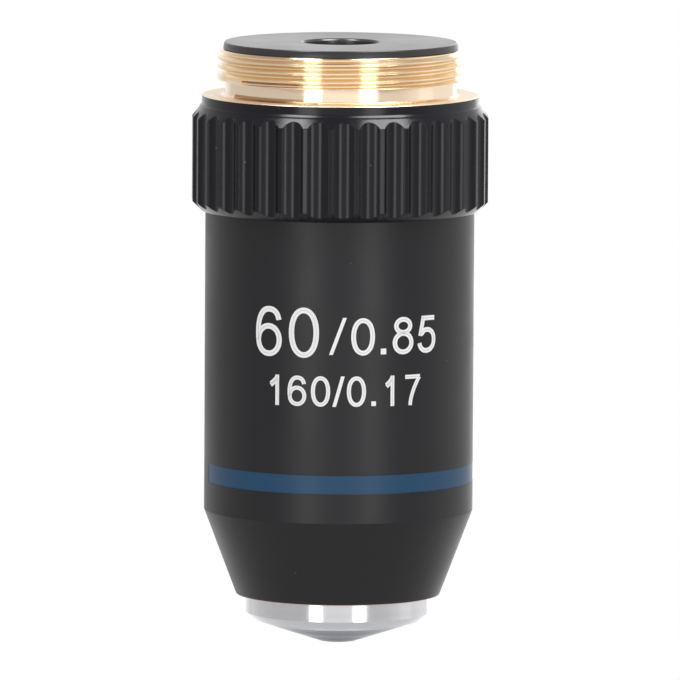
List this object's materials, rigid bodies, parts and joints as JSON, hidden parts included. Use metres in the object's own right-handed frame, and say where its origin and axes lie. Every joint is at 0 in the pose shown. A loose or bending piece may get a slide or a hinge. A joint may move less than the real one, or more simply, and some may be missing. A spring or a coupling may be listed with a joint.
{
  "type": "microscope objective",
  "caption": "Dry high-power microscope objective with a standard mounting thread, fluted grip, colour band and a nose that retracts against a spring.",
  "frame": {"origin": "centre of the shoulder plane that seats against a nosepiece, on the optical axis", "axes": "+Z along the optical axis out through the mounting thread, so the nose points along -Z; -Y is the side with the numbers"},
  "size_m": [0.0242, 0.0242, 0.0494],
  "materials": {
    "mount_brass": "bright turned brass on thread and shoulder, satin black on the grip",
    "black_anodised": "matt black anodised",
    "shim_steel": "rolled shim stock",
    "black_satin": "satin black enamel on brass",
    "blue_enamel": "satin blue enamel",
    "turned_brass": "turned brass",
    "spring_steel": "drawn spring wire",
    "screw_steel": "plain steel",
    "nose_plate": "satin nickel plate on brass",
    "crown_glass": "polished and coated",
    "flint_glass": "polished and coated"
  },
  "bodies": {
    "mount": {"mount_body": "mount_brass", "rear_stop": "black_anodised", "parfocal_shim": "shim_steel", "outer_sleeve": "black_satin", "colour_band": "blue_enamel", "spring_retainer": "turned_brass", "retraction_spring": "spring_steel"},
    "nose": {"lens_barrel": "turned_brass", "guide_pin": "screw_steel", "nose_cap": "nose_plate", "front_lens": "crown_glass", "meniscus_cell": "turned_brass", "meniscus_lens": "crown_glass", "meniscus_spacer": "black_anodised", "middle_cell": "turned_brass", "middle_crown": "crown_glass", "middle_flint": "flint_glass", "cell_spacer": "black_anodised", "rear_cell": "turned_brass", "rear_crown": "crown_glass", "rear_flint": "flint_glass", "centring_screws": "screw_steel", "cell_lock_ring": "black_anodised", "glare_stop": "black_anodised"}
  },
  "joints": [
    {"name": "nose_retract", "type": "slide", "parent": "mount", "child": "nose", "axis": [0, 0, 1], "range_m": [0, 0.0025], "stiffness_N_per_m": 400, "springref_m": -0.004, "deforming": ["retraction_spring"]}
  ]
}
